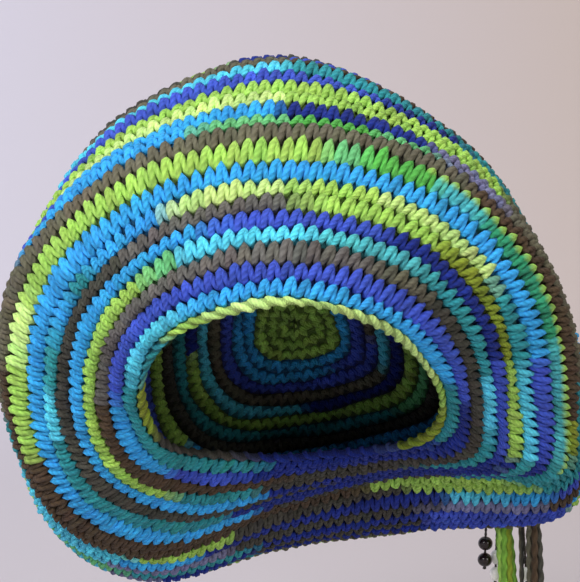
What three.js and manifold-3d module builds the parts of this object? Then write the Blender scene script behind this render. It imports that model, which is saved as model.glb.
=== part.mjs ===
// A large soft crocheted hat, held open as it is when worn. One fabric is worked in rounds from the
// middle of the back of the crown, out to a ridge, and in again as a broad brim round the face.
// Millimetres. The origin is the middle of the brim's edge on the forehead, X runs to the wearer's
// left, Y to the back of the head, and Z up.
import * as THREE from 'three';
import Module from 'manifold-3d';
import { mergeVertices } from 'three/addons/utils/BufferGeometryUtils.js';

const wasm = await Module();
wasm.setup();

// Places on the fabric are given by the hour of a clock face seen from the front, 12 at the forehead,
// and by the round of crochet, counted from the brim's edge.
const HOURS = 12;
const RIDGE_ROUND = 10;
const SHOULDER_ROUND = 19;
const POLE_ROUND = 41;
const CROWN_CENTRE = new THREE.Vector3(5, 222, -14);

// Each row is the fabric's section at one hour: where its edge, its ridge and the crown's shoulder lie.
const SECTIONS = [
  { hour: 0, edge: [0, 0, 0], ridge: [0, 30, 81], shoulder: [0, 86, 141] },
  { hour: 1, edge: [42, 13, -10], ridge: [80, 41, 65], shoulder: [96, 96, 94] },
  { hour: 2, edge: [69, 45, -30], ridge: [138, 62, 11], shoulder: [142, 121, 28] },
  { hour: 3, edge: [84, 83, -54], ridge: [160, 104, -56], shoulder: [180, 167, -54] },
  { hour: 4, edge: [80, 121, -77], ridge: [155, 148, -108], shoulder: [182, 212, -149] },
  { hour: 5, edge: [49, 153, -90], ridge: [75, 202, -112], shoulder: [97, 264, -178] },
  { hour: 6, edge: [6, 166, -96], ridge: [-3, 221, -133], shoulder: [2, 284, -192] },
  { hour: 7, edge: [-38, 154, -93], ridge: [-75, 188, -154], shoulder: [-95, 252, -205] },
  { hour: 8, edge: [-66, 120, -82], ridge: [-132, 140, -122], shoulder: [-148, 206, -155] },
  { hour: 9, edge: [-76, 84, -56], ridge: [-155, 100, -53], shoulder: [-156, 164, -56] },
  { hour: 10, edge: [-68, 48, -28], ridge: [-139, 62, 17], shoulder: [-138, 122, 28] },
  { hour: 11, edge: [-41, 17, -9], ridge: [-79, 34, 66], shoulder: [-97, 92, 102] },
];

// The ridge and the shoulder are rounded over this many rounds to each side.
const RIDGE_ROUNDING = 1.3;
const SHOULDER_ROUNDING_TOP = 4;
const SHOULDER_ROUNDING_BOTTOM = 6.5;

// The brim bellies out towards the front, and two folds push it about.
const BRIM_BOW = 4;
const FRONT = new THREE.Vector3(0, -0.85, -0.52);
const FOLDS = [
  { hour: 3, round: 4, hoursWide: 1.3, roundsWide: 3, push: [-6, 3, 0] },
  { hour: 4.3, round: 10, hoursWide: 0.5, roundsWide: 4, push: [4, 0, 4] },
];

// The wall of bulky crochet, and the pieces that it is parted into.
const WALL = 5.5;
const STEPS_ROUND = 66;
const BRIM_ROUNDS = [0.52, 1.8, 3.4, 5, 6.6, 8, 8.8, 9.43];
const CROWN_SIDE_ROUNDS = [9.5, 10, 10.6, 11.3, 12.5, 14, 15.5, 17, 18.5];
const CROWN_BACK_ROUNDS = [18.55, 20, 21.5, 23, 25, 28, 31, 34, 37, 39.6];
const EDGING_HALF_ROUNDS = 0.44;
const EDGING_HALF_WALL = 3.2;
const EDGING_SIDES = 8;

// Bundles of yarn tied to the outside of the crown, low on the wearer's left. Each knot's middle lies a
// short way out from its root, so that the knot all but touches the fabric, and hangs to its cut end.
const TASSELS = [
  { name: 'lime_tassel', hour: 4.4, round: 20.2, colour: '#7fbf3a',
    radius: 5.6, yarns: 5, out: 3.3, hang: 74, swing: 6 },
  { name: 'grey_tassel', hour: 4.17, round: 20.2, colour: '#5b564d',
    radius: 5, yarns: 3, out: 2.9, hang: 78, swing: 4 },
  { name: 'thin_tassel', hour: 4.2, round: 21.2, colour: '#6f6b60',
    radius: 2, yarns: 2, out: 0.95, hang: 58, swing: 1 },
];
const TASSEL_RINGS = 14;
const TASSEL_SIDES = 15;

// A tassel's form. Shares are of its hang, rises and tips of its radius, and the twist is in radians.
const KNOT_SHARE = 1 / 9;
const KNOT_RISE = 0.6;
const KNOT_TIP = 0.7;
const CUT_TIP = 0.3;
const ROUNDED_FROM = 0.12;
const NECK = { at: 0.17, halfLength: 0.05, depth: 0.22 };
const FLARE = 0.12;
const GROOVE_DEPTH = 0.1;
const BUNDLE_TWIST = 1.6;

// Threaded beads beside the tassels, each row one string: its root, and its beads from the top down.
const DARK_BEAD = { width: 9.4, height: 9 };
const SEED_BEAD = { width: 5, height: 4 };
const PEARL_BEAD = { width: 7.6, height: 9.4 };
const BEAD_STRINGS = [
  { name: 'dark_bead_string', hour: 4.52, round: 20.3, colour: '#2a1710',
    beads: [DARK_BEAD, DARK_BEAD], out: 5.2, hang: 30, swing: -1 },
  { name: 'pearl_bead_string', hour: 4.35, round: 22.5, colour: '#f2f0ea',
    beads: [PEARL_BEAD, PEARL_BEAD], out: 12, hang: 56, swing: -2 },
  { name: 'mixed_bead_string', hour: 4.15, round: 22.6, colour: '#e8e4da',
    beads: [SEED_BEAD, PEARL_BEAD], out: 13, hang: 62, swing: 4 },
];
const THREAD_RADIUS = 0.8;
const THREAD_STEPS = 12;
const THREAD_CURVE_SEGMENTS = 3;
const THREAD_KNOT = 1;
const BEAD_SPACE = 1.6;
const BEAD_SIDES = 12;
const BEAD_RINGS = 8;
const SEAT_GAP = 0.3;

function ramp(x, width) {
  // Zero below -width, x above width, and a smooth bend between.
  if (x <= -width) return 0;
  return x < width ? (x + width) ** 2 / (4 * width) : x;
}

function sectionAt(hour) {
  // The section at any hour, on a smooth closed curve through the table's rows.
  const turned = ((hour % HOURS) + HOURS) % HOURS;
  const row = Math.floor(turned);
  const near = [-1, 0, 1, 2].map((step) => SECTIONS[(row + step + HOURS) % HOURS]);
  const t = turned - row;
  const weights = [
    (-t + 2 * t ** 2 - t ** 3) / 2, (2 - 5 * t ** 2 + 3 * t ** 3) / 2,
    (t + 4 * t ** 2 - 3 * t ** 3) / 2, (-(t ** 2) + t ** 3) / 2,
  ];
  const blend = (column) => near.reduce(
    (sum, section, k) => sum.addScaledVector(new THREE.Vector3(...section[column]), weights[k]),
    new THREE.Vector3(),
  );
  return { edge: blend('edge'), ridge: blend('ridge'), shoulder: blend('shoulder') };
}

const SHOULDER_CENTRE = SECTIONS.reduce(
  (sum, section) => sum.addScaledVector(new THREE.Vector3(...section.shoulder), 1 / HOURS),
  new THREE.Vector3(),
);
const CROWN_DOME = CROWN_CENTRE.clone().sub(SHOULDER_CENTRE);
const CROWN_AXIS = CROWN_DOME.clone().normalize();

function fabricPoint(hour, round) {
  // A straight run up the brim, one along the crown's side and a dome over its back, with the ridge
  // and the shoulder rounded between them. The shoulder's lift out of its own plane dies away
  // towards the middle of the dome, which is smooth there.
  const { edge, ridge, shoulder } = sectionAt(hour);
  const backRounds = POLE_ROUND - SHOULDER_ROUND;
  const brimStep = ridge.clone().sub(edge).divideScalar(RIDGE_ROUND);
  const sideStep = shoulder.clone().sub(ridge).divideScalar(SHOULDER_ROUND - RIDGE_ROUND);
  const lift = CROWN_AXIS.clone().multiplyScalar(shoulder.clone().sub(SHOULDER_CENTRE).dot(CROWN_AXIS));
  const backStep = SHOULDER_CENTRE.clone().sub(shoulder).sub(lift).addScaledVector(CROWN_DOME, 2)
    .divideScalar(backRounds);
  const low = (1 - Math.cos((2 * Math.PI * hour) / HOURS)) / 2;
  const rounding = SHOULDER_ROUNDING_TOP + (SHOULDER_ROUNDING_BOTTOM - SHOULDER_ROUNDING_TOP) * low;
  const pastRidge = ramp(round - RIDGE_ROUND, RIDGE_ROUNDING);
  const pastShoulder = ramp(round - SHOULDER_ROUND, rounding);
  const onBrim = Math.min(Math.max(round / RIDGE_ROUND, 0), 1);
  const point = ridge.clone()
    .addScaledVector(brimStep, round - RIDGE_ROUND)
    .addScaledVector(sideStep.clone().sub(brimStep), pastRidge)
    .addScaledVector(backStep.sub(sideStep), pastShoulder)
    .addScaledVector(lift.sub(CROWN_DOME), (pastShoulder / backRounds) ** 2)
    .addScaledVector(FRONT, BRIM_BOW * Math.sin(Math.PI * onBrim));
  for (const fold of FOLDS) {
    const turn = THREE.MathUtils.euclideanModulo(hour - fold.hour + HOURS / 2, HOURS) - HOURS / 2;
    const share = Math.exp(-((turn / fold.hoursWide) ** 2) - ((round - fold.round) / fold.roundsWide) ** 2);
    point.addScaledVector(new THREE.Vector3(...fold.push), share);
  }
  return point;
}

function fabricNormal(hour, round) {
  // Square to the fabric, away from the head, from two short steps across the surface.
  const step = 0.001;
  const along = fabricPoint(hour + step, round).sub(fabricPoint(hour - step, round));
  const across = fabricPoint(hour, round + step).sub(fabricPoint(hour, round - step));
  return along.cross(across).normalize();
}

function offFabric(hour, round, distance) {
  return fabricPoint(hour, round).addScaledVector(fabricNormal(hour, round), distance);
}

function closedSkin(rings, poles) {
  // A closed skin over rings of equal count. Two poles close its ends, or else it closes on itself.
  const sides = rings[0].length;
  const points = rings.flat().concat(poles ?? []);
  const index = [];
  const bands = poles ? rings.length - 1 : rings.length;
  for (let i = 0; i < bands; i += 1) {
    const next = (i + 1) % rings.length;
    for (let j = 0; j < sides; j += 1) {
      const k = (j + 1) % sides;
      index.push(i * sides + j, i * sides + k, next * sides + k);
      index.push(i * sides + j, next * sides + k, next * sides + j);
    }
  }
  if (poles) {
    const first = rings.length * sides;
    const last = (rings.length - 1) * sides;
    for (let j = 0; j < sides; j += 1) {
      const k = (j + 1) % sides;
      index.push(first, k, j, first + 1, last + j, last + k);
    }
  }
  return outwardGeometry(points, index);
}

function outwardGeometry(points, index) {
  // The triangles are turned round where they enclose a negative volume.
  let volume = 0;
  for (let i = 0; i < index.length; i += 3) {
    const [a, b, c] = [points[index[i]], points[index[i + 1]], points[index[i + 2]]];
    volume += a.dot(b.clone().cross(c));
  }
  const turned = volume < 0 ? index.slice().reverse() : index;
  const geometry = new THREE.BufferGeometry().setFromPoints(points);
  geometry.setIndex(turned);
  geometry.computeVertexNormals();
  return geometry;
}

function hoursRound(count, place) {
  return Array.from({ length: count }, (_, i) => place((i * HOURS) / count));
}

function wallRings(rounds, depth) {
  return rounds.map((round) => hoursRound(STEPS_ROUND, (hour) => offFabric(hour, round, -depth)));
}

function bandGeometry(rounds) {
  // A stretch of the wall that is open at both ends.
  const outer = wallRings(rounds, 0);
  const inner = wallRings(rounds, WALL).reverse();
  return closedSkin([...outer, ...inner]);
}

function crownBackGeometry() {
  // The dome, closed at its middle.
  const outer = wallRings(CROWN_BACK_ROUNDS, 0).reverse();
  const inner = wallRings(CROWN_BACK_ROUNDS, WALL);
  return closedSkin(
    [...outer, ...inner],
    [CROWN_CENTRE, CROWN_CENTRE.clone().addScaledVector(CROWN_AXIS, -WALL)],
  );
}

function edgingGeometry() {
  // A rounded cord of slip stitches in line with the brim's wall.
  const rings = [];
  for (let i = 0; i < EDGING_SIDES; i += 1) {
    const angle = (2 * Math.PI * i) / EDGING_SIDES;
    const round = EDGING_HALF_ROUNDS * Math.cos(angle);
    const depth = EDGING_HALF_WALL * Math.sin(angle) - WALL / 2;
    rings.push(hoursRound(STEPS_ROUND, (hour) => fabricPoint(hour, round)
      .addScaledVector(fabricNormal(hour, 0), depth)));
  }
  return closedSkin(rings);
}

function tasselGeometry({ hour, round, radius, yarns, out, hang, swing }) {
  // A knot at the root, and below it a bundle of yarns with a groove between each two of them.
  const top = offFabric(hour, round, out);
  const rings = [];
  for (let i = 0; i <= TASSEL_RINGS; i += 1) {
    const down = i / TASSEL_RINGS;
    const capped = Math.sqrt(Math.max(ROUNDED_FROM, 1 - (1 - Math.min(down / KNOT_SHARE, 1)) ** 2));
    const neck = 1 - NECK.depth * Math.exp(-(((down - NECK.at) / NECK.halfLength) ** 2));
    const flare = 1 + FLARE * down;
    const ring = [];
    for (let j = 0; j < TASSEL_SIDES; j += 1) {
      const angle = (2 * Math.PI * j) / TASSEL_SIDES;
      const groove = 1 - GROOVE_DEPTH * (1 - Math.cos(yarns * (angle + BUNDLE_TWIST * down)));
      const reach = radius * capped * neck * flare * groove;
      ring.push(new THREE.Vector3(
        top.x + swing * down + reach * Math.cos(angle),
        top.y + reach * Math.sin(angle),
        top.z + radius * KNOT_RISE - (hang + radius * KNOT_RISE) * down,
      ));
    }
    rings.push(ring);
  }
  const start = new THREE.Vector3(top.x, top.y, top.z + radius * KNOT_TIP);
  const end = new THREE.Vector3(top.x + swing, top.y, top.z - hang - radius * CUT_TIP);
  return closedSkin(rings, [start, end]);
}

function asSolid(geometry) {
  const bare = geometry.clone();
  bare.deleteAttribute('normal');
  bare.deleteAttribute('uv');
  const merged = mergeVertices(bare, 1e-4);
  return new wasm.Manifold(new wasm.Mesh({
    numProp: 3,
    vertProperties: new Float32Array(merged.attributes.position.array),
    triVerts: new Uint32Array(merged.index.array),
  }));
}

function fromSolid(solid) {
  const mesh = solid.getMesh();
  const geometry = new THREE.BufferGeometry();
  geometry.setAttribute('position', new THREE.BufferAttribute(mesh.vertProperties, 3));
  geometry.setIndex(new THREE.BufferAttribute(mesh.triVerts, 1));
  geometry.computeVertexNormals();
  return geometry;
}

function beadStringGeometry({ hour, round, hang, beads, out, swing }) {
  // The thread leaves the fabric, bends down and carries the beads on its lower end, over a knot.
  const root = offFabric(hour, round, SEAT_GAP);
  const bend = offFabric(hour, round, out);
  const end = new THREE.Vector3(bend.x + swing, bend.y, bend.z - hang);
  const route = new THREE.CatmullRomCurve3([
    root, bend, bend.clone().lerp(end, 1 / 3), bend.clone().lerp(end, 2 / 3), end,
  ]);
  const section = new THREE.Shape().absarc(0, 0, THREAD_RADIUS, 0, 2 * Math.PI);
  const thread = new THREE.ExtrudeGeometry(section, {
    steps: THREAD_STEPS, extrudePath: route, curveSegments: THREAD_CURVE_SEGMENTS,
  });
  let solid = asSolid(thread);
  let below = end.z + THREAD_KNOT;
  for (const bead of beads.slice().reverse()) {
    const centreZ = below + bead.height / 2;
    const share = (bend.z - centreZ) / hang;
    const ball = new THREE.SphereGeometry(bead.width / 2, BEAD_SIDES, BEAD_RINGS);
    ball.rotateX(Math.PI / 2);
    ball.scale(1, 1, bead.height / bead.width);
    ball.translate(bend.x + swing * share, bend.y, centreZ);
    solid = solid.add(asSolid(ball));
    below += bead.height + BEAD_SPACE;
  }
  return fromSolid(solid);
}

function fabric(colour) {
  return new THREE.MeshStandardMaterial({ color: colour, roughness: 0.95, metalness: 0 });
}

function named(name, geometry, material) {
  const mesh = new THREE.Mesh(geometry, material);
  mesh.name = name;
  return mesh;
}

const hat = new THREE.Group();
hat.add(named('crown_back', crownBackGeometry(), fabric('#4f9a6a')));
hat.add(named('crown_side', bandGeometry(CROWN_SIDE_ROUNDS), fabric('#2f8fbe')));
hat.add(named('brim', bandGeometry(BRIM_ROUNDS), fabric('#3f7fc4')));
hat.add(named('edging', edgingGeometry(), fabric('#a5cd5f')));
for (const tassel of TASSELS) {
  hat.add(named(tassel.name, tasselGeometry(tassel), fabric(tassel.colour)));
}
for (const string of BEAD_STRINGS) {
  const glossy = new THREE.MeshStandardMaterial({ color: string.colour, roughness: 0.3, metalness: 0 });
  hat.add(named(string.name, beadStringGeometry(string), glossy));
}

export default hat;
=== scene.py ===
import bpy
import numpy as np
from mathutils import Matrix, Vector


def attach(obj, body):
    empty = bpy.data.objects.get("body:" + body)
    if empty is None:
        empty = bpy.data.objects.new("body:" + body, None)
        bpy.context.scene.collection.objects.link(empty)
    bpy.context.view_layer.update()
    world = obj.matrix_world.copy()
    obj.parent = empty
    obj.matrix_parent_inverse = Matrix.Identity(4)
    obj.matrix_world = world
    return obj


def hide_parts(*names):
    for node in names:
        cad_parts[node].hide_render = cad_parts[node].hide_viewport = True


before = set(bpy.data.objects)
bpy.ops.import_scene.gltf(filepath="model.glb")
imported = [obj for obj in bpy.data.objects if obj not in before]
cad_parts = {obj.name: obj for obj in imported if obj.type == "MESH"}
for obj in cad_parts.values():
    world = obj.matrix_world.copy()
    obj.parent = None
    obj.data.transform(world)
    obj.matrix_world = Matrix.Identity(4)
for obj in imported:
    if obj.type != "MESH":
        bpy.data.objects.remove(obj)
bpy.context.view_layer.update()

# The middle of the crown. The hat is one fabric of single crochet in bulky acrylic yarn, worked in
# rounds from a ring of stitches at the middle of its back. All rounds lie on one form, given here by
# where the edge, the ridge and the crown's shoulder lie, in millimetres, at each hour of a clock.
MM = 0.001
HOURS = 12
RIDGE_ROUND = 10
SHOULDER_ROUND = 19
POLE_ROUND = 41
CROWN_CENTRE = np.array([5, 222, -14])
SECTIONS = np.array([
    [[0, 0, 0], [0, 30, 81], [0, 86, 141]],
    [[42, 13, -10], [80, 41, 65], [96, 96, 94]],
    [[69, 45, -30], [138, 62, 11], [142, 121, 28]],
    [[84, 83, -54], [160, 104, -56], [180, 167, -54]],
    [[80, 121, -77], [155, 148, -108], [182, 212, -149]],
    [[49, 153, -90], [75, 202, -112], [97, 264, -178]],
    [[6, 166, -96], [-3, 221, -133], [2, 284, -192]],
    [[-38, 154, -93], [-75, 188, -154], [-95, 252, -205]],
    [[-66, 120, -82], [-132, 140, -122], [-148, 206, -155]],
    [[-76, 84, -56], [-155, 100, -53], [-156, 164, -56]],
    [[-68, 48, -28], [-139, 62, 17], [-138, 122, 28]],
    [[-41, 17, -9], [-79, 34, 66], [-97, 92, 102]],
])
RIDGE_ROUNDING = 1.3
SHOULDER_ROUNDING_TOP = 4
SHOULDER_ROUNDING_BOTTOM = 6.5
BRIM_BOW = 4
FRONT = np.array([0, -0.85, -0.52])
FOLD_HOURS = np.array([3, 4.3])
FOLD_ROUNDS = np.array([4, 10])
FOLD_HOURS_WIDE = np.array([1.3, 0.5])
FOLD_ROUNDS_WIDE = np.array([3, 4])
FOLD_PUSHES = np.array([[-6, 3, 0], [4, 0, 4]])

# Handwork is never even: slow waves lift the rounds a little and shift them along the fabric.
WAVES_ROUND = np.array([3, 5, 8, 13])
WAVE_TURNS = np.array([0.31, -0.47, 0.62, -0.83])
WAVE_LIFTS = np.array([0.5, 0.4, 0.3, 0.25])
WAVE_SHIFTS = np.array([0.05, 0.04, 0.04, 0.03])

# The rounds crowd together where the brim's sides are pulled tight. Each column is one such place.
CROWDED_HOURS = np.array([9.7, 9.7, 10.6, 2.7, 7.6, 7.6, 0, 0, 0])
CROWDED_ROUNDS = np.array([7.7, 4, 15.5, 7.7, 10, 5.5, 1.0, 7.8, 10.4])
CROWDED_HOURS_WIDE = np.array([1.5, 1.2, 1.1, 1.3, 0.8, 0.8, 30, 1.5, 1.8])
CROWDED_ROUNDS_WIDE = np.array([2.6, 2.2, 2.4, 2.6, 1.6, 2, 1.8, 1.3, 0.9])
CROWDED_SHIFTS = np.array([-1.2, -0.7, -0.5, -0.9, 1.0, -0.5, -0.42, -0.2, 0.25])


def hours_apart(hour, other):
    """The short way round the clock from other to hour."""
    return (hour - other + HOURS / 2) % HOURS - HOURS / 2


def ramp(x, width):
    """Zero below -width, x above width, and a parabola that joins them between."""
    return np.where(np.abs(x) < width, (x + width) ** 2 / (4 * width), np.maximum(x, 0))


def laid_round(hour, rounds):
    """Where a round comes to lie: its own number, plus a bell-shaped shift at each crowded place,
    plus four small sine waves that run round the hat."""
    turn = hours_apart(hour[..., None], CROWDED_HOURS) / CROWDED_HOURS_WIDE
    away = (rounds[..., None] - CROWDED_ROUNDS) / CROWDED_ROUNDS_WIDE
    crowding = (CROWDED_SHIFTS * np.exp(-turn**2 - away**2)).sum(-1)
    phase = 2 * np.pi * (WAVES_ROUND * hour[..., None] / HOURS + WAVE_TURNS * rounds[..., None])
    return rounds + crowding + (WAVE_SHIFTS * np.sin(phase)).sum(-1)


def section(hour):
    """Edge, ridge and shoulder at any hour, on a Catmull-Rom curve through the table's rows."""
    turned = hour % HOURS
    row = np.floor(turned).astype(int)
    t = (turned - row)[..., None, None]
    before, here, after, later = (SECTIONS[(row + step) % HOURS] for step in (-1, 0, 1, 2))
    cubic = 3 * here - before - 3 * after + later
    square = 2 * before - 5 * here + 4 * after - later
    return here + 0.5 * ((after - before) * t + square * t**2 + cubic * t**3)


def fabric_form(hour, rounds):
    """The outer face in millimetres: a straight run from edge to ridge, one from ridge to shoulder,
    and a parabolic dome from there to the crown's middle, with each bend rounded by a ramp."""
    rows = section(hour)
    edge, ridge, shoulder = rows[..., 0, :], rows[..., 1, :], rows[..., 2, :]
    centre = SECTIONS[:, 2].mean(0)
    dome = CROWN_CENTRE - centre
    axis = dome / np.linalg.norm(dome)
    back_rounds = POLE_ROUND - SHOULDER_ROUND
    brim_step = (ridge - edge) / RIDGE_ROUND
    side_step = (shoulder - ridge) / (SHOULDER_ROUND - RIDGE_ROUND)
    lift = ((shoulder - centre) @ axis)[..., None] * axis
    back_step = (centre - shoulder - lift + 2 * dome) / back_rounds
    low = (1 - np.cos(2 * np.pi * hour / HOURS)) / 2
    rounding = SHOULDER_ROUNDING_TOP + (SHOULDER_ROUNDING_BOTTOM - SHOULDER_ROUNDING_TOP) * low
    past_ridge = ramp(rounds - RIDGE_ROUND, RIDGE_ROUNDING)[..., None]
    past_shoulder = ramp(rounds - SHOULDER_ROUND, rounding)[..., None]
    on_brim = np.clip(rounds / RIDGE_ROUND, 0, 1)[..., None]
    turn = hours_apart(hour[..., None], FOLD_HOURS) / FOLD_HOURS_WIDE
    away = (rounds[..., None] - FOLD_ROUNDS) / FOLD_ROUNDS_WIDE
    return (
        ridge
        + brim_step * (rounds[..., None] - RIDGE_ROUND)
        + (side_step - brim_step) * past_ridge
        + (back_step - side_step) * past_shoulder
        + (lift - dome) * (past_shoulder / back_rounds) ** 2
        + FRONT * BRIM_BOW * np.sin(np.pi * on_brim)
        + np.exp(-turn**2 - away**2) @ FOLD_PUSHES
    )


def square_to_fabric(hour, rounds):
    """Unit vectors away from the head: the cross product of two short steps over the form."""
    step = 0.001
    along = fabric_form(hour + step, rounds) - fabric_form(hour - step, rounds)
    across = fabric_form(hour, rounds + step) - fabric_form(hour, rounds - step)
    out = np.cross(along, across)
    return out / np.linalg.norm(out, axis=-1, keepdims=True)


def on_fabric(hour, rounds, out):
    """Points out millimetres off the form, with the small lifts of the handwork's slow waves."""
    laid = laid_round(hour, rounds)
    phase = 2 * np.pi * (WAVES_ROUND * hour[..., None] / HOURS - WAVE_TURNS * rounds[..., None])
    lift = (WAVE_LIFTS * np.cos(phase)).sum(-1)
    return fabric_form(hour, laid) + square_to_fabric(hour, laid) * (out + lift)[..., None]


# A single crochet stitch, seen from outside: the yarn climbs its left leg, dives into the round above
# at the tip, comes back and goes down its right leg. Columns: across, towards the crown, out, radius.
STITCH_WIDTH = 6.6
ROW_HEIGHT = 8.3
STITCH_PATH = np.array([
    [-3.3, -1.8, -3.9, 1.5],
    [-2.8, -2.0, -2.9, 1.75],
    [-2.1, -1.1, -1.9, 1.9],
    [-1.1, 1.5, -1.1, 1.95],
    [0.0, 4.1, -1.0, 1.8],
    [1.0, 5.5, -1.8, 1.7],
    [1.6, 4.2, -1.9, 1.65],
    [1.8, 1.8, -1.6, 1.75],
    [2.2, -0.8, -1.9, 1.85],
    [2.7, -1.9, -2.9, 1.75],
])
YARN_SIDES = 6
TWISTS_A_STITCH = 7
LEAN_A_ROUND = 0.15
HAND_WANDER = np.array([0.4, 0.4, 0.35])

# On the inside the same stitch is a low wave of yarn. The columns are the same.
BACK_PATH = np.array([
    [-3.3, -2.7, -4.6, 1.8],
    [-1.8, 0.2, -4.9, 2.0],
    [-0.2, 2.7, -5.0, 2.1],
    [1.4, 2.0, -5.0, 2.0],
    [2.5, -1.0, -4.7, 1.9],
])
BACK_YARN_SIDES = 5

# A round is measured in short steps, and no nearer to the crown's middle than this many rounds.
MEASURING_STEPS = 720
NEAREST_TO_POLE = 0.6
FEWEST_STITCHES = 6

# Between the two faces each round has a flat band, the heart of its stitches. Its colour is the round's dye
# darkened by GAP_SHADE: painted shade in the gaps between the stitches.
HEART_COLUMNS = 2
HEART_SIDES = 6
HEART_HALF_HEIGHT = 5.2
HEART_HALF_HEIGHT_AT_RING = 9
HEART_MIDDLE = -4.0
HEART_HALF_THICKNESS = 0.8
GAP_SHADE = 0.3

hand = np.random.default_rng(11)


def yarn_round_path(path, pitch, sides):
    """A tube of yarn round a path that repeats every pitch: rings across, up and out, set square to
    the path by the cross products of its direction with the outward axis."""
    ahead = np.roll(path[:, :3], -1, axis=0)
    ahead[-1, 0] += pitch
    behind = np.roll(path[:, :3], 1, axis=0)
    behind[0, 0] -= pitch
    along = ahead - behind
    along /= np.linalg.norm(along, axis=1, keepdims=True)
    side = np.cross(along, [0, 0, 1])
    side /= np.linalg.norm(side, axis=1, keepdims=True)
    up = np.cross(side, along)
    angle = 2 * np.pi * np.arange(sides) / sides
    ring = np.cos(angle)[None, :, None] * side[:, None] + np.sin(angle)[None, :, None] * up[:, None]
    return path[:, None, :3] + path[:, None, 3:] * ring


def length_of_round(round_number):
    """Hours once round the clock, and the running length of the round up to each of them."""
    hour = np.linspace(0, HOURS, MEASURING_STEPS + 1)
    ring = fabric_form(hour, np.full_like(hour, min(round_number, POLE_ROUND - NEAREST_TO_POLE)))
    run = np.concatenate([[0], np.linalg.norm(np.diff(ring, axis=0), axis=1).cumsum()])
    return hour, run


def stitch_count(round_number):
    """How many stitches a round holds: its length over the width of one."""
    _, run = length_of_round(round_number)
    return max(FEWEST_STITCHES, round(run[-1] / STITCH_WIDTH))


def hour_along(share, round_number):
    """The hour at a share of the round's length, from the running length of the round."""
    hour, run = length_of_round(round_number)
    turns = np.floor(share)
    return HOURS * turns + np.interp(share - turns, run / run[-1], hour)


def closed_grid(rows, sides):
    """Quads over a grid that closes on itself both ways."""
    row = np.arange(rows)[:, None]
    side = np.arange(sides)[None, :]
    row_next = (row + 1) % rows
    side_next = (side + 1) % sides
    corners = [row * sides + side, row_next * sides + side]
    corners += [row_next * sides + side_next, row * sides + side_next]
    return np.stack(corners, axis=-1).reshape(-1, 4)


def grid_uv(run, sides):
    """UV for each corner of a closed grid: u is the run along the yarn at each row and at its end,
    and v goes once round the yarn."""
    flat = np.zeros((len(run) - 1, sides))
    here, after = run[:-1, None] + flat, run[1:, None] + flat
    v = np.arange(sides) / sides + flat
    step = 1 / sides
    corners = [(here, v), (after, v), (after, v + step), (here, v + step)]
    return np.stack([np.stack(corner, axis=-1) for corner in corners], axis=2).reshape(-1, 2)


def twists_along(path, pitch, count):
    """The yarn's twists so far at each ring of count stitches, in step with the path's length."""
    ends = np.concatenate([path[:, :3], path[:1, :3] + [pitch, 0, 0]])
    run = np.linalg.norm(np.diff(ends, axis=0), axis=1).cumsum()
    in_stitch = np.concatenate([[0], run[:-1] / run[-1]]) * TWISTS_A_STITCH
    rows = (np.arange(count)[:, None] * TWISTS_A_STITCH + in_stitch).ravel()
    return np.append(rows, count * TWISTS_A_STITCH)
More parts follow.
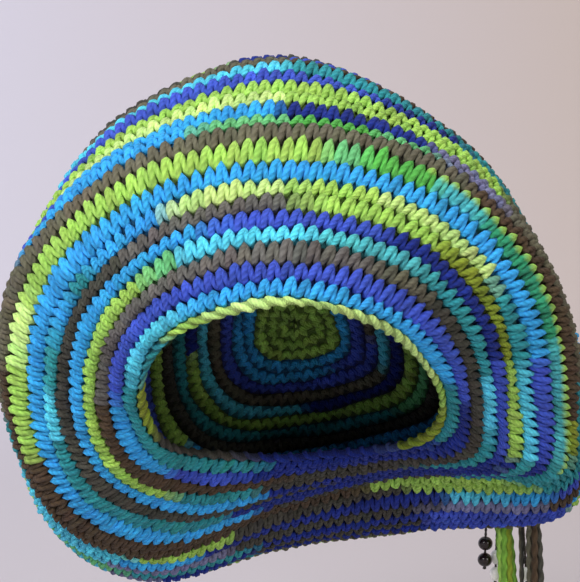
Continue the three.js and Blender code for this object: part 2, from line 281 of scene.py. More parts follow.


# The yarn changes colour along its length, so most rounds hold several colours. The chart gives, for each
# round from the edge to the crown's shoulder, the hour from which each colour runs clockwise. Not all of it
# is the yarn's own colour. Low at the back, from about hour 4.5 to 6.5, most rounds turn navy or slate:
# painted shade where the hat hangs behind the neck, over yarn that is partly dark itself. The bark and slate
# low on the left, in rounds 3, 6, 9 and 10, are partly grey-brown yarn and partly painted shade. The olive
# of the edge at its two sides is painted shade on the lime. Its pale lime at the top is partly a paler lime
# and partly painted highlight. Just inside the ridge, at one side, the stitches end in lime tips, between
# the two hours given.
DYES = {
    "lime": (156, 202, 90),
    "pale": (190, 224, 132),
    "leaf": (84, 172, 74),
    "jade": (46, 144, 106),
    "mint": (104, 188, 122),
    "olive": (126, 146, 44),
    "sky": (52, 162, 226),
    "violet": (60, 84, 190),
    "navy": (24, 44, 130),
    "grey": (98, 96, 78),
    "ash": (98, 96, 92),
    "slate": (66, 66, 58),
    "bark": (74, 60, 44),
    "grass": (116, 168, 62),
    "aqua": (84, 202, 230),
    "teal": (44, 142, 150),
    "lagoon": (72, 172, 178),
    "lilac": (116, 120, 156),
}
# Painted shade and highlight stand in this chart: navy and slate low at the back, bark and slate low on the
# left, olive at the edge's sides and pale at the edge's top.
STRIPES_AND_PAINTED_LIGHT = {
    0: [(0, "pale"), (2.3, "lime"), (3.1, "olive"), (4.4, "navy"), (6.4, "slate"), (8, "olive"),
        (9.3, "teal"), (10.2, "lime"), (10.9, "pale")],
    1: [(0, "sky"), (2.6, "teal"), (4, "navy"), (6.3, "teal"), (9.3, "aqua"), (10.8, "sky")],
    2: [(0, "violet"), (3, "navy"), (6.5, "violet"), (7.5, "sky"), (9, "violet")],
    3: [(0, "ash"), (0.8, "grey"), (1.3, "slate"), (6, "bark"), (9, "ash")],
    4: [(0, "aqua"), (0.3, "lagoon"), (1.3, "teal"), (2.6, "aqua"), (3.4, "teal"), (4.6, "slate"),
        (6.3, "teal"), (7.2, "lime"), (10.6, "mint"), (11, "aqua")],
    5: [(0, "violet"), (0.7, "navy"), (2.4, "violet"), (3.8, "navy"), (6.2, "sky"), (11.3, "violet")],
    6: [(0.05, "lime"), (1.2, "olive"), (2.5, "lime"), (3.8, "navy"), (5.5, "slate"), (10.6, "ash")],
    7: [(0, "lime"), (0.6, "pale"), (1.7, "teal"), (2.5, "aqua"), (3.7, "teal"), (4.5, "navy"),
        (6.5, "teal"), (8.6, "aqua"), (9.1, "teal"), (9.6, "sky"), (10, "teal"), (10.3, "sky"),
        (11.1, "pale")],
    8: [(0, "sky"), (2.5, "violet"), (3.8, "navy"), (6.2, "sky")],
    9: [(0.2, "mint"), (0.5, "leaf"), (0.95, "lagoon"), (1.3, "jade"), (2.4, "lagoon"), (3.8, "teal"),
        (4.7, "slate"), (6, "bark"), (8.45, "lime"), (9.3, "pale"), (9.8, "lime")],
    10: [(0, "grey"), (1.2, "bark"), (3.15, "olive"), (3.6, "teal"), (4.3, "lime"), (5.3, "bark"),
         (9.2, "grey")],
    11: [(0, "leaf"), (0.5, "mint"), (0.9, "lilac"), (1.4, "grey"), (2.8, "teal"), (4.2, "lime"),
         (5, "slate"), (6.4, "lime"), (7.2, "aqua"), (8.2, "teal"), (8.8, "grey"), (10, "sky"),
         (11.4, "mint")],
    12: [(0, "navy"), (0.8, "lilac"), (1.4, "grey"), (2.7, "violet"), (4.1, "sky"), (4.45, "aqua"),
         (4.75, "navy"), (6.6, "sky"), (7.3, "aqua"), (8.4, "teal"), (8.8, "grey"), (10, "violet"),
         (10.5, "sky"), (11.9, "navy")],
    13: [(0, "lime"), (1.4, "grey"), (2.3, "teal"), (3.3, "bark"), (4.15, "lilac"), (4.85, "slate"),
         (6.4, "lilac"), (7.4, "aqua"), (9, "grey"), (9.9, "violet"), (10.4, "pale")],
    14: [(0, "lime"), (1.4, "grey"), (2.3, "sky"), (3.9, "violet"), (4.9, "navy"), (6.2, "teal"),
         (7.2, "mint"), (8.2, "lime")],
    15: [(0, "violet"), (0.5, "navy"), (1, "teal"), (1.7, "grey"), (2.4, "lime"), (3.9, "violet"),
         (4.9, "slate"), (6.2, "navy"), (6.9, "lilac"), (7.4, "aqua"), (8.5, "violet")],
    16: [(0, "teal"), (1.9, "grey"), (2.5, "navy"), (3.9, "violet"), (4.9, "navy"), (6.2, "teal"),
         (9.5, "aqua")],
    17: [(0, "bark"), (2.2, "teal"), (4, "grey"), (8.2, "sky"), (10, "grey")],
}
LIME_TIPS = {9: (0.9, 3.9)}
TIP_RINGS = slice(4, 7)
YARN_ORDER = ["lime", "sky", "violet", "grey", "aqua", "navy", "lime", "teal", "mint", "slate"]
YARN_STRETCH = 52
FADE = 1.6
LEAST_NEW_SHARE = 0.25
CHANGE_WANDER = 0.5
MOTTLE = 0.03
SHADE_SPREAD = 0.1
DARKEST_SHADE = 0.75
LIGHTEST_SHADE = 1.3


def from_screen(colour):
    """Linear red, green and blue from a colour as screens show it, by the sRGB curve."""
    shown = np.array(colour) / 255
    return np.where(shown > 0.04045, ((shown + 0.055) / 1.055) ** 2.4, shown / 12.92)


def dye_and_painted_light_of_stitches(round_number, hour, count):
    """One colour a stitch: the chart's colour at its hour, mixed with its neighbour's over FADE
    stitches at a change, a little lighter or darker by chance, and faintly mottled in hue."""
    if round_number in STRIPES_AND_PAINTED_LIGHT:
        starts = np.array([start for start, _ in STRIPES_AND_PAINTED_LIGHT[round_number]])
        names = [name for _, name in STRIPES_AND_PAINTED_LIGHT[round_number]]
        turned = hour % HOURS
        here = np.searchsorted(starts, turned, side="right") - 1
        since = np.where(here < 0, turned + HOURS - starts[-1], turned - starts[here])
    else:
        names = YARN_ORDER
        made = sum(stitch_count(r) for r in range(round_number + 1, POLE_ROUND))
        run = made + count * (1 - (hour % HOURS) / HOURS)
        here = (run // YARN_STRETCH).astype(int)
        since = (run % YARN_STRETCH) * HOURS / count
    colours = np.array([from_screen(DYES[name]) for name in names])
    stitches_in = since * count / HOURS + hand.normal(0, CHANGE_WANDER, len(hour))
    new_share = np.clip(0.5 + stitches_in / (2 * FADE), LEAST_NEW_SHARE, 1)[:, None]
    mottle = hand.normal(1, MOTTLE, (len(hour), 3))
    shade = np.clip(hand.normal(1, SHADE_SPREAD, len(hour)), DARKEST_SHADE, LIGHTEST_SHADE)
    before = colours[(here - 1) % len(names)]
    dye = colours[here % len(names)] * new_share + before * (1 - new_share)
    return dye * mottle * shade[:, None]


def yarn_of_round(round_number, count, path, sides):
    """A round's yarn in millimetres: the tube of one stitch, repeated, shifted a little by hand in
    the middle of each stitch, and laid over the form."""
    tube = yarn_round_path(path, STITCH_WIDTH, sides)
    sway = np.sin(np.pi * np.arange(len(path)) / len(path)) ** 2
    laid = tube[None] + hand.normal(0, 1, (count, 1, 1, 3)) * HAND_WANDER * sway[None, :, None, None]
    number = np.arange(count)[:, None, None] + LEAN_A_ROUND * (RIDGE_ROUND - round_number)
    hour = hour_along((number + laid[..., 0] / STITCH_WIDTH) / count, round_number)
    rounds = round_number + laid[..., 1] / ROW_HEIGHT
    return on_fabric(hour, rounds, laid[..., 2]).reshape(-1, 3)


def crochet_round(round_number):
    """One round: the yarn of its outer face and of its inner face, and the band between, darkened as painted
    shade.
    """
    count = stitch_count(round_number)
    first = LEAN_A_ROUND * (RIDGE_ROUND - round_number)
    hour = hour_along((np.arange(count) + first) / count, round_number) % HOURS
    dye = dye_and_painted_light_of_stitches(round_number, hour, count)
    parts = []
    for path, sides in ((STITCH_PATH, YARN_SIDES), (BACK_PATH, BACK_YARN_SIDES)):
        yarn = yarn_of_round(round_number, count, path, sides)
        quads = closed_grid(count * len(path), sides)
        uv = grid_uv(twists_along(path, STITCH_WIDTH, count), sides)
        rings = np.repeat(dye[:, None], len(path), axis=1)
        if round_number in LIME_TIPS and path is STITCH_PATH:
            start, stop = LIME_TIPS[round_number]
            rings[(hour > start) & (hour < stop), TIP_RINGS] = from_screen(DYES["lime"])
        parts.append((yarn, [quads], np.repeat(rings.reshape(-1, 3), sides, axis=0), uv))

    angle = 2 * np.pi * np.arange(HEART_SIDES) / HEART_SIDES
    column = np.arange(count * HEART_COLUMNS)[:, None] / HEART_COLUMNS
    half_height = HEART_HALF_HEIGHT if round_number < POLE_ROUND - 1 else HEART_HALF_HEIGHT_AT_RING
    heart_hour = hour_along((column + first) / count, round_number) + 0 * angle
    rounds = round_number + half_height / ROW_HEIGHT * np.cos(angle) + 0 * column
    out = HEART_MIDDLE + HEART_HALF_THICKNESS * np.sin(angle) + 0 * column
    heart = on_fabric(heart_hour, rounds, out)
    quads = closed_grid(count * HEART_COLUMNS, HEART_SIDES)
    uv = grid_uv(np.linspace(0, count * TWISTS_A_STITCH, count * HEART_COLUMNS + 1), HEART_SIDES)
    # Painted shade: the band takes the round's dye darkened, so the gaps between the stitches look dark.
    heart_painted_shade = np.repeat(dye, HEART_COLUMNS * HEART_SIDES, axis=0) * GAP_SHADE
    parts.append((heart.reshape(-1, 3), [quads], heart_painted_shade, uv))
    return parts


def face_outwards(points, quads):
    """Whether the quads, seen from the middle of their points, enclose a positive volume."""
    first, second, third, fourth = (points[quads[:, k]] - points.mean(0) for k in range(4))
    return (first * np.cross(second, third)).sum() + (first * np.cross(third, fourth)).sum() >= 0


def sewn_mesh(name, parts, finish):
    """One object from parts of points in millimetres, groups of faces of one size each, colours, and
    corner UVs in the order of the faces. A part that is inside out has its faces turned round."""
    points, groups, dyes, uvs = [], [], [], []
    first = 0
    for part_points, part_groups, part_dye, part_uv in parts:
        step = 1 if face_outwards(part_points, part_groups[0]) else -1
        corner = 0
        for faces in part_groups:
            groups.append(faces[:, ::step] + first)
            face_uv = part_uv[corner:corner + faces.size].reshape(*faces.shape, 2)
            uvs.append(face_uv[:, ::step].reshape(-1, 2))
            corner += faces.size
        points.append(part_points)
        dyes.append(part_dye)
        first += len(part_points)
    corners = np.concatenate([faces.ravel() for faces in groups])
    sizes = np.concatenate([np.full(len(faces), faces.shape[1]) for faces in groups])
    mesh = bpy.data.meshes.new(name)
    mesh.vertices.add(first)
    mesh.vertices.foreach_set("co", (np.concatenate(points) * MM).ravel())
    mesh.loops.add(len(corners))
    mesh.loops.foreach_set("vertex_index", corners)
    mesh.polygons.add(len(sizes))
    mesh.polygons.foreach_set("loop_start", np.concatenate([[0], sizes.cumsum()[:-1]]))
    mesh.polygons.foreach_set("use_smooth", np.ones(len(sizes), bool))
    mesh.update(calc_edges=True)
    mesh.uv_layers.new(name="yarn").data.foreach_set("uv", np.concatenate(uvs).ravel())
    colours = np.concatenate(dyes)
    opaque = np.concatenate([colours, np.ones((len(colours), 1))], axis=1)
    mesh.color_attributes.new("dye", "FLOAT_COLOR", "POINT").data.foreach_set("color", opaque.ravel())
    mesh.materials.append(finish)
    piece = bpy.data.objects.new(name, mesh)
    bpy.context.scene.collection.objects.link(piece)
    return piece


PLIES = 3
PLY_RELIEF = 0.36
PLY_DEPTH = 0.36
FIBRES_A_TWIST = 2.5
FIBRES_ROUND = 34
BLOTCH_SIZE = 160


def yarn_finish(name):
    """Soft matt acrylic. The colour is the piece's own dye, darkened as painted shade in the grooves between
    the plies that wind along the UV and in the low streaks of the fibres that run with them, and faintly
    blotched."""
    finish = bpy.data.materials.new(name)
    finish.use_nodes = True
    nodes, links = finish.node_tree.nodes, finish.node_tree.links
    shader = nodes["Principled BSDF"]
    shader.inputs["Roughness"].default_value = 0.85
    shader.inputs["Specular IOR Level"].default_value = 0.15
    shader.inputs["Sheen Weight"].default_value = 0.05
    shader.inputs["Sheen Roughness"].default_value = 0.6
    dye = nodes.new("ShaderNodeAttribute")
    dye.attribute_name = "dye"
    along = nodes.new("ShaderNodeUVMap")
    along.uv_map = "yarn"
    wind = nodes.new("ShaderNodeVectorMath")
    wind.operation = "DOT_PRODUCT"
    wind.inputs[1].default_value = (2 * np.pi, 2 * np.pi * PLIES, 0)
    links.new(along.outputs["UV"], wind.inputs[0])
    ply = nodes.new("ShaderNodeMath")
    ply.operation = "SINE"
    links.new(wind.outputs["Value"], ply.inputs[0])
    stretch = nodes.new("ShaderNodeVectorMath")
    stretch.operation = "MULTIPLY"
    stretch.inputs[1].default_value = (FIBRES_A_TWIST, FIBRES_ROUND, 1)
    links.new(along.outputs["UV"], stretch.inputs[0])
    fibres = nodes.new("ShaderNodeTexNoise")
    fibres.inputs["Scale"].default_value = 1
    fibres.inputs["Detail"].default_value = 3
    links.new(stretch.outputs["Vector"], fibres.inputs["Vector"])
    place = nodes.new("ShaderNodeTexCoord")
    blotches = nodes.new("ShaderNodeTexNoise")
    blotches.inputs["Scale"].default_value = BLOTCH_SIZE
    links.new(place.outputs["Object"], blotches.inputs["Vector"])
    relief = nodes.new("ShaderNodeMath")
    relief.operation = "MULTIPLY_ADD"
    relief.inputs[1].default_value = PLY_RELIEF
    links.new(ply.outputs[0], relief.inputs[0])
    links.new(fibres.outputs["Fac"], relief.inputs[2])
    # Painted shade: the base colour goes darker where the ply and fibre relief is low, as in the grooves.
    tone = nodes.new("ShaderNodeMath")
    tone.operation = "MULTIPLY_ADD"
    tone.inputs[1].default_value = PLY_DEPTH
    links.new(relief.outputs[0], tone.inputs[0])
    uneven = nodes.new("ShaderNodeMapRange")
    uneven.inputs["From Min"].default_value = 0.3
    uneven.inputs["From Max"].default_value = 0.7
    uneven.inputs["To Min"].default_value = 0.7
    uneven.inputs["To Max"].default_value = 1.05
    links.new(blotches.outputs["Fac"], uneven.inputs["Value"])
    links.new(uneven.outputs["Result"], tone.inputs[2])
    tinted = nodes.new("ShaderNodeVectorMath")
    tinted.operation = "SCALE"
    links.new(dye.outputs["Color"], tinted.inputs[0])
    links.new(tone.outputs[0], tinted.inputs["Scale"])
    links.new(tinted.outputs["Vector"], shader.inputs["Base Color"])
    bump = nodes.new("ShaderNodeBump")
    bump.inputs["Strength"].default_value = 1.0
    bump.inputs["Distance"].default_value = 0.0006
    links.new(relief.outputs[0], bump.inputs["Height"])
    links.new(bump.outputs["Normal"], shader.inputs["Normal"])
    return finish


striped_yarn = yarn_finish("striped_acrylic_yarn")


def crochet(name, first_round, last_round, *replaced):
    """The rounds from first to last as one piece in the place of the plain solids named."""
    parts = []
    for round_number in range(first_round, last_round + 1):
        parts += crochet_round(round_number)
    piece = sewn_mesh(name, parts, striped_yarn)
    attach(piece, "root")
    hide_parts(*replaced)
    return piece


crown_middle = crochet("crown_middle", 30, 40, "crown_back")
crown_bag = crochet("crown_bag", 24, 29, "crown_back")
crown_shoulder = crochet("crown_shoulder", 19, 23, "crown_back")

# The side of the crown. It widens to the shoulder and comes forward to the ridge, a grey-brown round
# where the fabric turns sharply in towards the face.
crown_rounds = crochet("crown_rounds", 14, 18, "crown_side")
ridge_rounds = crochet("ridge_rounds", 10, 13, "crown_side")

# The brim. Nine rounds from the ridge in to the face, each with fewer stitches than the last, so that
# the fabric draws in like a funnel.
brim_outer_rounds = crochet("brim_outer_rounds", 5, 9, "brim")
brim_inner_rounds = crochet("brim_inner_rounds", 1, 4, "brim")

# The edging. One round of long slanting loops in lime yarn, wrapped over a plain core, finishes the opening
# that goes round the face and the nape. The core takes the loops' colour darkened by CORE_SHADE: painted
# shade under and between the loops.
EDGING_PITCH = 8.8
EDGING_RINGS = 14
EDGING_SIDES = 8
EDGING_ROUND = 0.36
EDGING_YARN_RADIUS = 1.6
EDGING_HALF_HEIGHT = 1.6
EDGING_HALF_DEPTH = 1.8
EDGING_MIDDLE = -2.7
EDGING_FRONT_RUN = 0.42
CORE_SHADE = 0.6
CORE_RADIUS = 2.0
CORE_COLUMNS = 3


def edging_loops():
    """A coil round the core: height and depth go round on an ellipse once a loop, and the run along
    the edge hurries through the front half, so that the front lies long and slanting."""
    count = round(stitch_count(0) * STITCH_WIDTH / EDGING_PITCH)
    turn = 2 * np.pi * np.arange(EDGING_RINGS) / EDGING_RINGS
    run = EDGING_PITCH * (turn / (2 * np.pi) + EDGING_FRONT_RUN * np.sin(turn / 2) ** 2)
    path = np.stack([
        run,
        EDGING_HALF_HEIGHT * np.cos(turn),
        EDGING_MIDDLE + EDGING_HALF_DEPTH * np.sin(turn),
        np.full_like(turn, EDGING_YARN_RADIUS),
    ], axis=1)
    tube = yarn_round_path(path, EDGING_PITCH, EDGING_SIDES)
    number = np.arange(count)[:, None, None]
    hour = hour_along((number + tube[None, ..., 0] / EDGING_PITCH) / count, 0)
    rounds = EDGING_ROUND + tube[None, ..., 1] / ROW_HEIGHT + 0 * hour
    loops = on_fabric(hour, rounds, tube[None, ..., 2] + 0 * hour).reshape(-1, 3)
    dye = dye_and_painted_light_of_stitches(0, hour_along(np.arange(count) / count, 0), count)
    loops_dye = np.repeat(dye, EDGING_RINGS * EDGING_SIDES, axis=0)
    angle = 2 * np.pi * np.arange(EDGING_SIDES) / EDGING_SIDES
    columns = count * CORE_COLUMNS
    core_hour = hour_along(np.arange(columns)[:, None] / columns, 0) + 0 * angle
    core_rounds = EDGING_ROUND + CORE_RADIUS / ROW_HEIGHT * np.cos(angle) + 0 * core_hour
    core = on_fabric(core_hour, core_rounds, EDGING_MIDDLE + CORE_RADIUS * np.sin(angle) + 0 * core_hour)
    # Painted shade: the core takes the loops' colour darkened.
    core_painted_shade = np.repeat(dye, CORE_COLUMNS * EDGING_SIDES, axis=0) * CORE_SHADE
    core_run = np.linspace(0, count * TWISTS_A_STITCH, columns + 1)
    return [
        (loops, [closed_grid(count * EDGING_RINGS, EDGING_SIDES)], loops_dye,
         grid_uv(twists_along(path, EDGING_PITCH, count), EDGING_SIDES)),
        (core.reshape(-1, 3), [closed_grid(columns, EDGING_SIDES)], core_painted_shade,
         grid_uv(core_run, EDGING_SIDES)),
    ]


face_edging = sewn_mesh("face_edging", edging_loops(), striped_yarn)
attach(face_edging, "root")
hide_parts("edging")

# The tassels. Short bundles of the hat's own yarn, knotted to the crown low on the wearer's left. Each
# yarn in a bundle is twisted from two plies, and the bundle itself is lightly twisted.
TASSELS = [
    {"name": "lime_tassel", "hour": 4.4, "round": 20.2, "radius": 5.6, "yarns": 9, "yarn_share": 0.34,
     "out": 3.3, "hang": 74, "swing": 6, "dyes": ["grass", "lime", "grass", "olive"]},
    {"name": "grey_tassel", "hour": 4.17, "round": 20.2, "radius": 5, "yarns": 6, "yarn_share": 0.38,
     "out": 2.9, "hang": 78, "swing": 4, "dyes": ["grey", "bark", "slate"]},
    {"name": "thin_tassel", "hour": 4.2, "round": 21.2, "radius": 2, "yarns": 2, "yarn_share": 0.5,
     "out": 0.95, "hang": 58, "swing": 1, "dyes": ["grey", "slate"]},
]
TASSEL_RINGS = 110
TASSEL_YARN_SIDES = 12
TASSEL_TWIST = 1.2
TASSEL_PLIES = 2
TASSEL_PLY_LENGTH = 9
TASSEL_PLY_DEPTH = 0.2
CAP_SHARE = 0.11
CAP_TIP = 0.05
NECK_AT = 0.17
NECK_HALF_LENGTH = 0.05
NECK_DEPTH = 0.1
FLARE = 0.15
UNEVEN_CUT = 3
END_SHARPNESS = 30
END_TIP = 0.02


def root_on_fabric(hour, round_number, out):
    """A point out millimetres off the form itself, without the handwork's waves."""
    at_hour, at_round = np.array([hour], float), np.array([round_number], float)
    return (fabric_form(at_hour, at_round) + out * square_to_fabric(at_hour, at_round))[0]


def strand(centres, radius, sides, plies, ply_length, depth, dye):
    """A tube along centres, closed by a fan at each end. Its radius swells plies times round each
    ring, and the swelling winds along the tube once every ply_length."""
    along = np.gradient(centres, axis=0)
    along /= np.linalg.norm(along, axis=1, keepdims=True)
    side = np.cross(along, [0, 1, 0])
    side /= np.linalg.norm(side, axis=1, keepdims=True)
    up = np.cross(side, along)
    run = np.concatenate([[0], np.linalg.norm(np.diff(centres, axis=0), axis=1).cumsum()])
    angle = 2 * np.pi * np.arange(sides) / sides
    winding = plies * angle[None, :] - 2 * np.pi * run[:, None] / ply_length
    reach = radius[:, None] * (1 + depth * np.cos(winding))
    ring = np.cos(angle)[None, :, None] * side[:, None] + np.sin(angle)[None, :, None] * up[:, None]
    points = np.concatenate([(centres[:, None] + reach[..., None] * ring).reshape(-1, 3), centres[[0, -1]]])
    rings = len(centres)
    row = np.arange(rings - 1)[:, None]
    here = np.arange(sides)
    after = (here + 1) % sides
    last = (rings - 1) * sides
    quads = np.stack([row * sides + here, (row + 1) * sides + here,
                      (row + 1) * sides + after, row * sides + after], axis=-1).reshape(-1, 4)
    start = np.stack([np.full(sides, rings * sides), here, after], axis=-1)
    stop = np.stack([np.full(sides, rings * sides + 1), last + after, last + here], axis=-1)
    fans = np.concatenate([start, stop])
    uv = np.concatenate([grid_uv(run / ply_length, sides), np.zeros((fans.size, 2))])
    return points, [quads, fans], np.broadcast_to(dye, (len(points), 3)), uv


def tassel_parts(row):
    """The yarns of one bundle. The first goes straight down its middle and the others wind slowly
    round it, drawn in at the top and at the neck and let out towards the cut end."""
    top = root_on_fabric(row["hour"], row["round"], row["out"])
    down = np.linspace(0, 1, TASSEL_RINGS)
    capped = np.sqrt(np.maximum(CAP_TIP, 1 - (1 - np.minimum(down / CAP_SHARE, 1)) ** 2))
    neck = 1 - NECK_DEPTH * np.exp(-(((down - NECK_AT) / NECK_HALF_LENGTH) ** 2))
    outer = row["radius"] * capped * neck * (1 + FLARE * down)
    ends = np.sqrt(np.minimum(1, np.minimum(down, 1 - down) * END_SHARPNESS + END_TIP))
    yarn_radius = row["radius"] * row["yarn_share"]
    parts = []
    for number in range(row["yarns"]):
        angle = 2 * np.pi * number / (row["yarns"] - 1) - TASSEL_TWIST * down
        reach = np.maximum(outer - yarn_radius, 0) * (number > 0)
        length = row["hang"] - UNEVEN_CUT * hand.random()
        centres = np.stack([
            top[0] + row["swing"] * down + reach * np.cos(angle),
            top[1] + reach * np.sin(angle),
            top[2] + row["radius"] / 2 - (length + row["radius"] / 2) * down,
        ], axis=1)
        dye = from_screen(DYES[row["dyes"][number % len(row["dyes"])]])
        parts.append((centres, yarn_radius * ends * capped, dye))
    return parts


for row in TASSELS:
    bundle = [
        strand(centres, radius, TASSEL_YARN_SIDES, TASSEL_PLIES, TASSEL_PLY_LENGTH, TASSEL_PLY_DEPTH, dye)
        for centres, radius, dye in tassel_parts(row)
    ]
    tassel = sewn_mesh(row["name"] + "_yarns", bundle, striped_yarn)
    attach(tassel, "root")
    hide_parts(row["name"])

# The bead strings. Glossy dark brown beads and pearl white oval ones, threaded on a thin dark cord
# beside the tassels, with a knot under the lowest bead.
DARK_BEAD = (9.4, 9.0)
SEED_BEAD = (5.0, 4.0)
PEARL_BEAD = (7.6, 9.4)
BEAD_STRINGS = [
    {"name": "dark_bead_string", "hour": 4.52, "round": 20.3, "out": 5.2, "hang": 30, "swing": -1,
     "beads": [DARK_BEAD, DARK_BEAD], "colours": [(26, 12, 8), (26, 12, 8)], "slot": "dark_bead"},
    {"name": "pearl_bead_string", "hour": 4.35, "round": 22.5, "out": 12, "hang": 56, "swing": -2,
     "beads": [PEARL_BEAD, PEARL_BEAD], "colours": [(248, 247, 242), (248, 247, 242)],
     "slot": "pearl_bead"},
    {"name": "mixed_bead_string", "hour": 4.15, "round": 22.6, "out": 13, "hang": 62, "swing": 4,
     "beads": [SEED_BEAD, PEARL_BEAD], "colours": [(26, 12, 8), (248, 247, 242)],
     "slot": "pearl_bead"},
]
THREAD_DYE = (40, 32, 28)
THREAD_RADIUS = 0.8
THREAD_RINGS = 40
THREAD_SIDES = 10
THREAD_PLIES = 2
THREAD_PLY_LENGTH = 3
THREAD_PLY_DEPTH = 0.15
THREAD_BEND_SHARE = 0.15
SEAT_GAP = 0.3
KNOT_RADIUS = 1.3
KNOT_TOP = 1.2
KNOT_BOTTOM = 0.6
KNOT_RINGS = 8
KNOT_PLIES = 3
KNOT_PLY_DEPTH = 0.12
KNOT_BLUNTNESS = 0.3
BEAD_SIDES = 32
BEAD_RINGS = 24
BEAD_SPACE = 1.6


def bead_finish(name):
    """Glossy moulded plastic with faint swirls, its colour taken from the piece."""
    finish = bpy.data.materials.new(name)
    finish.use_nodes = True
    nodes, links = finish.node_tree.nodes, finish.node_tree.links
    shader = nodes["Principled BSDF"]
    shader.inputs["Specular IOR Level"].default_value = 0.3
    shader.inputs["Coat Weight"].default_value = 0.4
    shader.inputs["Coat Roughness"].default_value = 0.08
    dye = nodes.new("ShaderNodeAttribute")
    dye.attribute_name = "dye"
    place = nodes.new("ShaderNodeTexCoord")
    swirls = nodes.new("ShaderNodeTexNoise")
    swirls.inputs["Scale"].default_value = 260
    swirls.inputs["Distortion"].default_value = 1.5
    links.new(place.outputs["Object"], swirls.inputs["Vector"])
    tone = nodes.new("ShaderNodeMapRange")
    tone.inputs["To Min"].default_value = 0.85
    tone.inputs["To Max"].default_value = 1.15
    links.new(swirls.outputs["Fac"], tone.inputs["Value"])
    tinted = nodes.new("ShaderNodeVectorMath")
    tinted.operation = "SCALE"
    links.new(dye.outputs["Color"], tinted.inputs[0])
    links.new(tone.outputs["Result"], tinted.inputs["Scale"])
    links.new(tinted.outputs["Vector"], shader.inputs["Base Color"])
    wear = nodes.new("ShaderNodeMapRange")
    wear.inputs["To Min"].default_value = 0.18
    wear.inputs["To Max"].default_value = 0.34
    links.new(swirls.outputs["Fac"], wear.inputs["Value"])
    links.new(wear.outputs["Result"], shader.inputs["Roughness"])
    return finish


bead_gloss = bead_finish("glossy_bead")


def bead(centre, width, height, colour):
    """A ball stretched upright: rings whose radius and height follow half a turn of a circle."""
    turn = np.pi * (np.arange(BEAD_RINGS) + 0.5) / BEAD_RINGS
    centres = centre + np.stack([0 * turn, 0 * turn, height / 2 * np.cos(turn)], axis=1)
    return strand(centres, width / 2 * np.sin(turn), BEAD_SIDES, 1, height, 0, from_screen(colour))


def bead_string(row):
    """The thread bends down from its root over a short curve and carries the beads on its end."""
    root = root_on_fabric(row["hour"], row["round"], SEAT_GAP)
    bend = root_on_fabric(row["hour"], row["round"], row["out"])
    end = bend + np.array([row["swing"], 0, -row["hang"]])
    hanging = bend + (end - bend) * THREAD_BEND_SHARE
    share = np.linspace(0, 1, THREAD_RINGS)[:, None]
    curve = root * (1 - share) ** 2 + 2 * bend * share * (1 - share) + hanging * share**2
    route = np.concatenate([curve, hanging + (end - hanging) * share[1:]])
    dye = from_screen(THREAD_DYE)
    even = np.full(len(route), THREAD_RADIUS)
    parts = [
        strand(route, even, THREAD_SIDES, THREAD_PLIES, THREAD_PLY_LENGTH, THREAD_PLY_DEPTH, dye)
    ]
    knot = np.linspace(end + [0, 0, KNOT_TOP], end - [0, 0, KNOT_BOTTOM], KNOT_RINGS)
    round_off = KNOT_RADIUS * np.sin(np.linspace(KNOT_BLUNTNESS, np.pi - KNOT_BLUNTNESS, KNOT_RINGS))
    parts.append(
        strand(knot, round_off, THREAD_SIDES, KNOT_PLIES, THREAD_PLY_LENGTH, KNOT_PLY_DEPTH, dye)
    )
    below = end[2] + KNOT_TOP
    for (width, height), colour in list(zip(row["beads"], row["colours"]))[::-1]:
        centre_z = below + height / 2
        fallen = (bend[2] - centre_z) / row["hang"]
        centre = np.array([bend[0] + row["swing"] * fallen, bend[1], centre_z])
        parts.append(bead(centre, width, height, colour))
        below += height + BEAD_SPACE
    return parts


for row in BEAD_STRINGS:
    beads = sewn_mesh(row["name"] + "_threaded", bead_string(row), bead_gloss)
    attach(beads, "root")
    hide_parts(row["name"])

# The place: a wide round studio with a pale floor that curves up into a pale wall, lilac on the left and
# beige on the right. The paint glows, which is painted light: a little light of its own, most of it behind
# the hat, in place of a wall that a window shines on.
FLOOR_Z = -0.262
ROOM_RADIUS = 3.6
ROOM_HEIGHT = 3.0
ROOM_CURVE_RADIUS = 1.3
ROOM_CURVE_STEPS = 17
ROOM_SIDES = 96
FLOOR_MIDDLE_RADIUS = 0.01
LILAC_PAINT = (0.51, 0.50, 0.58, 1)
BEIGE_PAINT = (0.385, 0.31, 0.25, 1)
LILAC_UP_TO_X, BEIGE_FROM_X = -1.2, 1.6
DIM_UP_TO_Y, BRIGHT_FROM_Y = -1, 3
DIM_GLOW, BRIGHT_GLOW = 0.15, 0.7


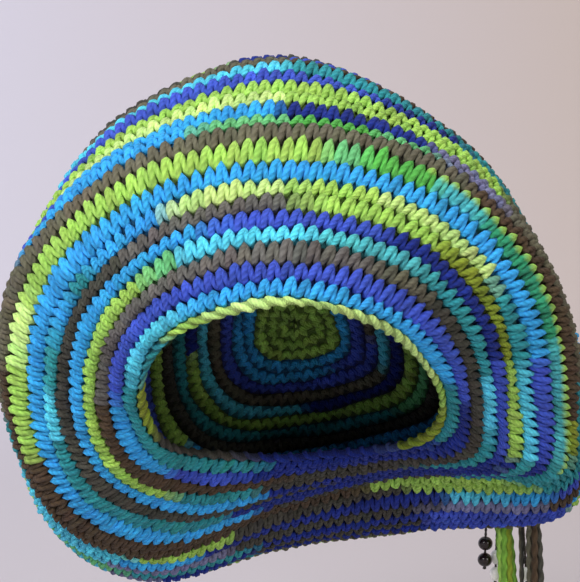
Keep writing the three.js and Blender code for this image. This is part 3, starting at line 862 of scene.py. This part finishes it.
def pale_room():
    """A profile of floor, quarter circle and wall, turned once round the upright axis."""
    bend = np.linspace(0, np.pi / 2, ROOM_CURVE_STEPS)
    inner = ROOM_RADIUS - ROOM_CURVE_RADIUS
    radius = np.concatenate([[FLOOR_MIDDLE_RADIUS], inner + ROOM_CURVE_RADIUS * np.sin(bend), [ROOM_RADIUS]])
    height = np.concatenate([[0], ROOM_CURVE_RADIUS * (1 - np.cos(bend)), [ROOM_HEIGHT]]) + FLOOR_Z
    turn = 2 * np.pi * np.arange(ROOM_SIDES) / ROOM_SIDES
    points = np.stack([
        radius[:, None] * np.cos(turn), radius[:, None] * np.sin(turn), height[:, None] + 0 * turn,
    ], axis=-1).reshape(-1, 3)
    row = np.arange(len(radius) - 1)[:, None] * ROOM_SIDES
    side = np.arange(ROOM_SIDES)
    after = (side + 1) % ROOM_SIDES
    quads = np.stack([row + side, row + after, row + ROOM_SIDES + after, row + ROOM_SIDES + side], axis=-1)
    quads = quads.reshape(-1, 4).tolist() + [side[::-1].tolist()]
    mesh = bpy.data.meshes.new("pale_room")
    mesh.from_pydata(points.tolist(), [], quads)
    mesh.polygons.foreach_set("use_smooth", np.ones(len(quads), bool))
    finish = bpy.data.materials.new("pale_glowing_paint")
    finish.use_nodes = True
    nodes, links = finish.node_tree.nodes, finish.node_tree.links
    shader = nodes["Principled BSDF"]
    shader.inputs["Roughness"].default_value = 0.8
    place = nodes.new("ShaderNodeTexCoord")
    split = nodes.new("ShaderNodeSeparateXYZ")
    links.new(place.outputs["Object"], split.inputs[0])
    across = nodes.new("ShaderNodeMapRange")
    across.inputs["From Min"].default_value = LILAC_UP_TO_X
    across.inputs["From Max"].default_value = BEIGE_FROM_X
    links.new(split.outputs["X"], across.inputs["Value"])
    tint = nodes.new("ShaderNodeMix")
    tint.data_type = "RGBA"
    tint.inputs["A"].default_value = LILAC_PAINT
    tint.inputs["B"].default_value = BEIGE_PAINT
    links.new(across.outputs["Result"], tint.inputs["Factor"])
    links.new(tint.outputs["Result"], shader.inputs["Base Color"])
    links.new(tint.outputs["Result"], shader.inputs["Emission Color"])
    # Painted light: the paint glows weakly in front of the hat and most behind it.
    behind = nodes.new("ShaderNodeMapRange")
    behind.inputs["From Min"].default_value = DIM_UP_TO_Y
    behind.inputs["From Max"].default_value = BRIGHT_FROM_Y
    behind.inputs["To Min"].default_value = DIM_GLOW
    behind.inputs["To Max"].default_value = BRIGHT_GLOW
    links.new(split.outputs["Y"], behind.inputs["Value"])
    links.new(behind.outputs["Result"], shader.inputs["Emission Strength"])
    mesh.materials.append(finish)
    room = bpy.data.objects.new("pale_room", mesh)
    bpy.context.scene.collection.objects.link(room)


def soft_lamp(name, place, aim, size, power, colour):
    """A square lamp at a place, turned towards its aim."""
    lamp = bpy.data.lights.new(name, "AREA")
    lamp.size = size
    lamp.energy = power
    lamp.color = colour
    holder = bpy.data.objects.new(name, lamp)
    holder.visible_camera = False
    holder.location = place
    away = Vector(aim) - Vector(place)
    holder.rotation_euler = away.to_track_quat("-Z", "Y").to_euler()
    bpy.context.scene.collection.objects.link(holder)


pale_room()
soft_lamp("window", (-0.75, -0.95, 0.85), (0, 0.05, 0), 0.7, 22, (1.0, 0.98, 0.96))
soft_lamp("ceiling", (0.1, 0.2, 1.3), (0, 0.05, 0), 1.2, 1.5, (0.95, 0.97, 1.0))
soft_lamp("fill", (2.0, -2.05, 0.85), (0.1, 0.05, 0), 1.5, 33, (1.0, 0.98, 0.95))
world = bpy.data.worlds.new("soft_grey")
world.use_nodes = True
world.node_tree.nodes["Background"].inputs["Color"].default_value = (0.85, 0.88, 0.95, 1)
world.node_tree.nodes["Background"].inputs["Strength"].default_value = 0.6
bpy.context.scene.world = world

# The view: level with the brim's edge, straight at the face opening, from an arm's length away.
camera = bpy.data.cameras.new("view")
camera.sensor_fit = "HORIZONTAL"
camera.sensor_width = 36
camera.lens = 80.69
viewpoint = bpy.data.objects.new("view", camera)
viewpoint.location = (0.0023, -0.600, 0.0042)
viewpoint.rotation_euler = (np.pi / 2, 0, 0)
bpy.context.scene.collection.objects.link(viewpoint)
bpy.context.scene.camera = viewpoint
bpy.context.scene.view_settings.view_transform = "Standard"
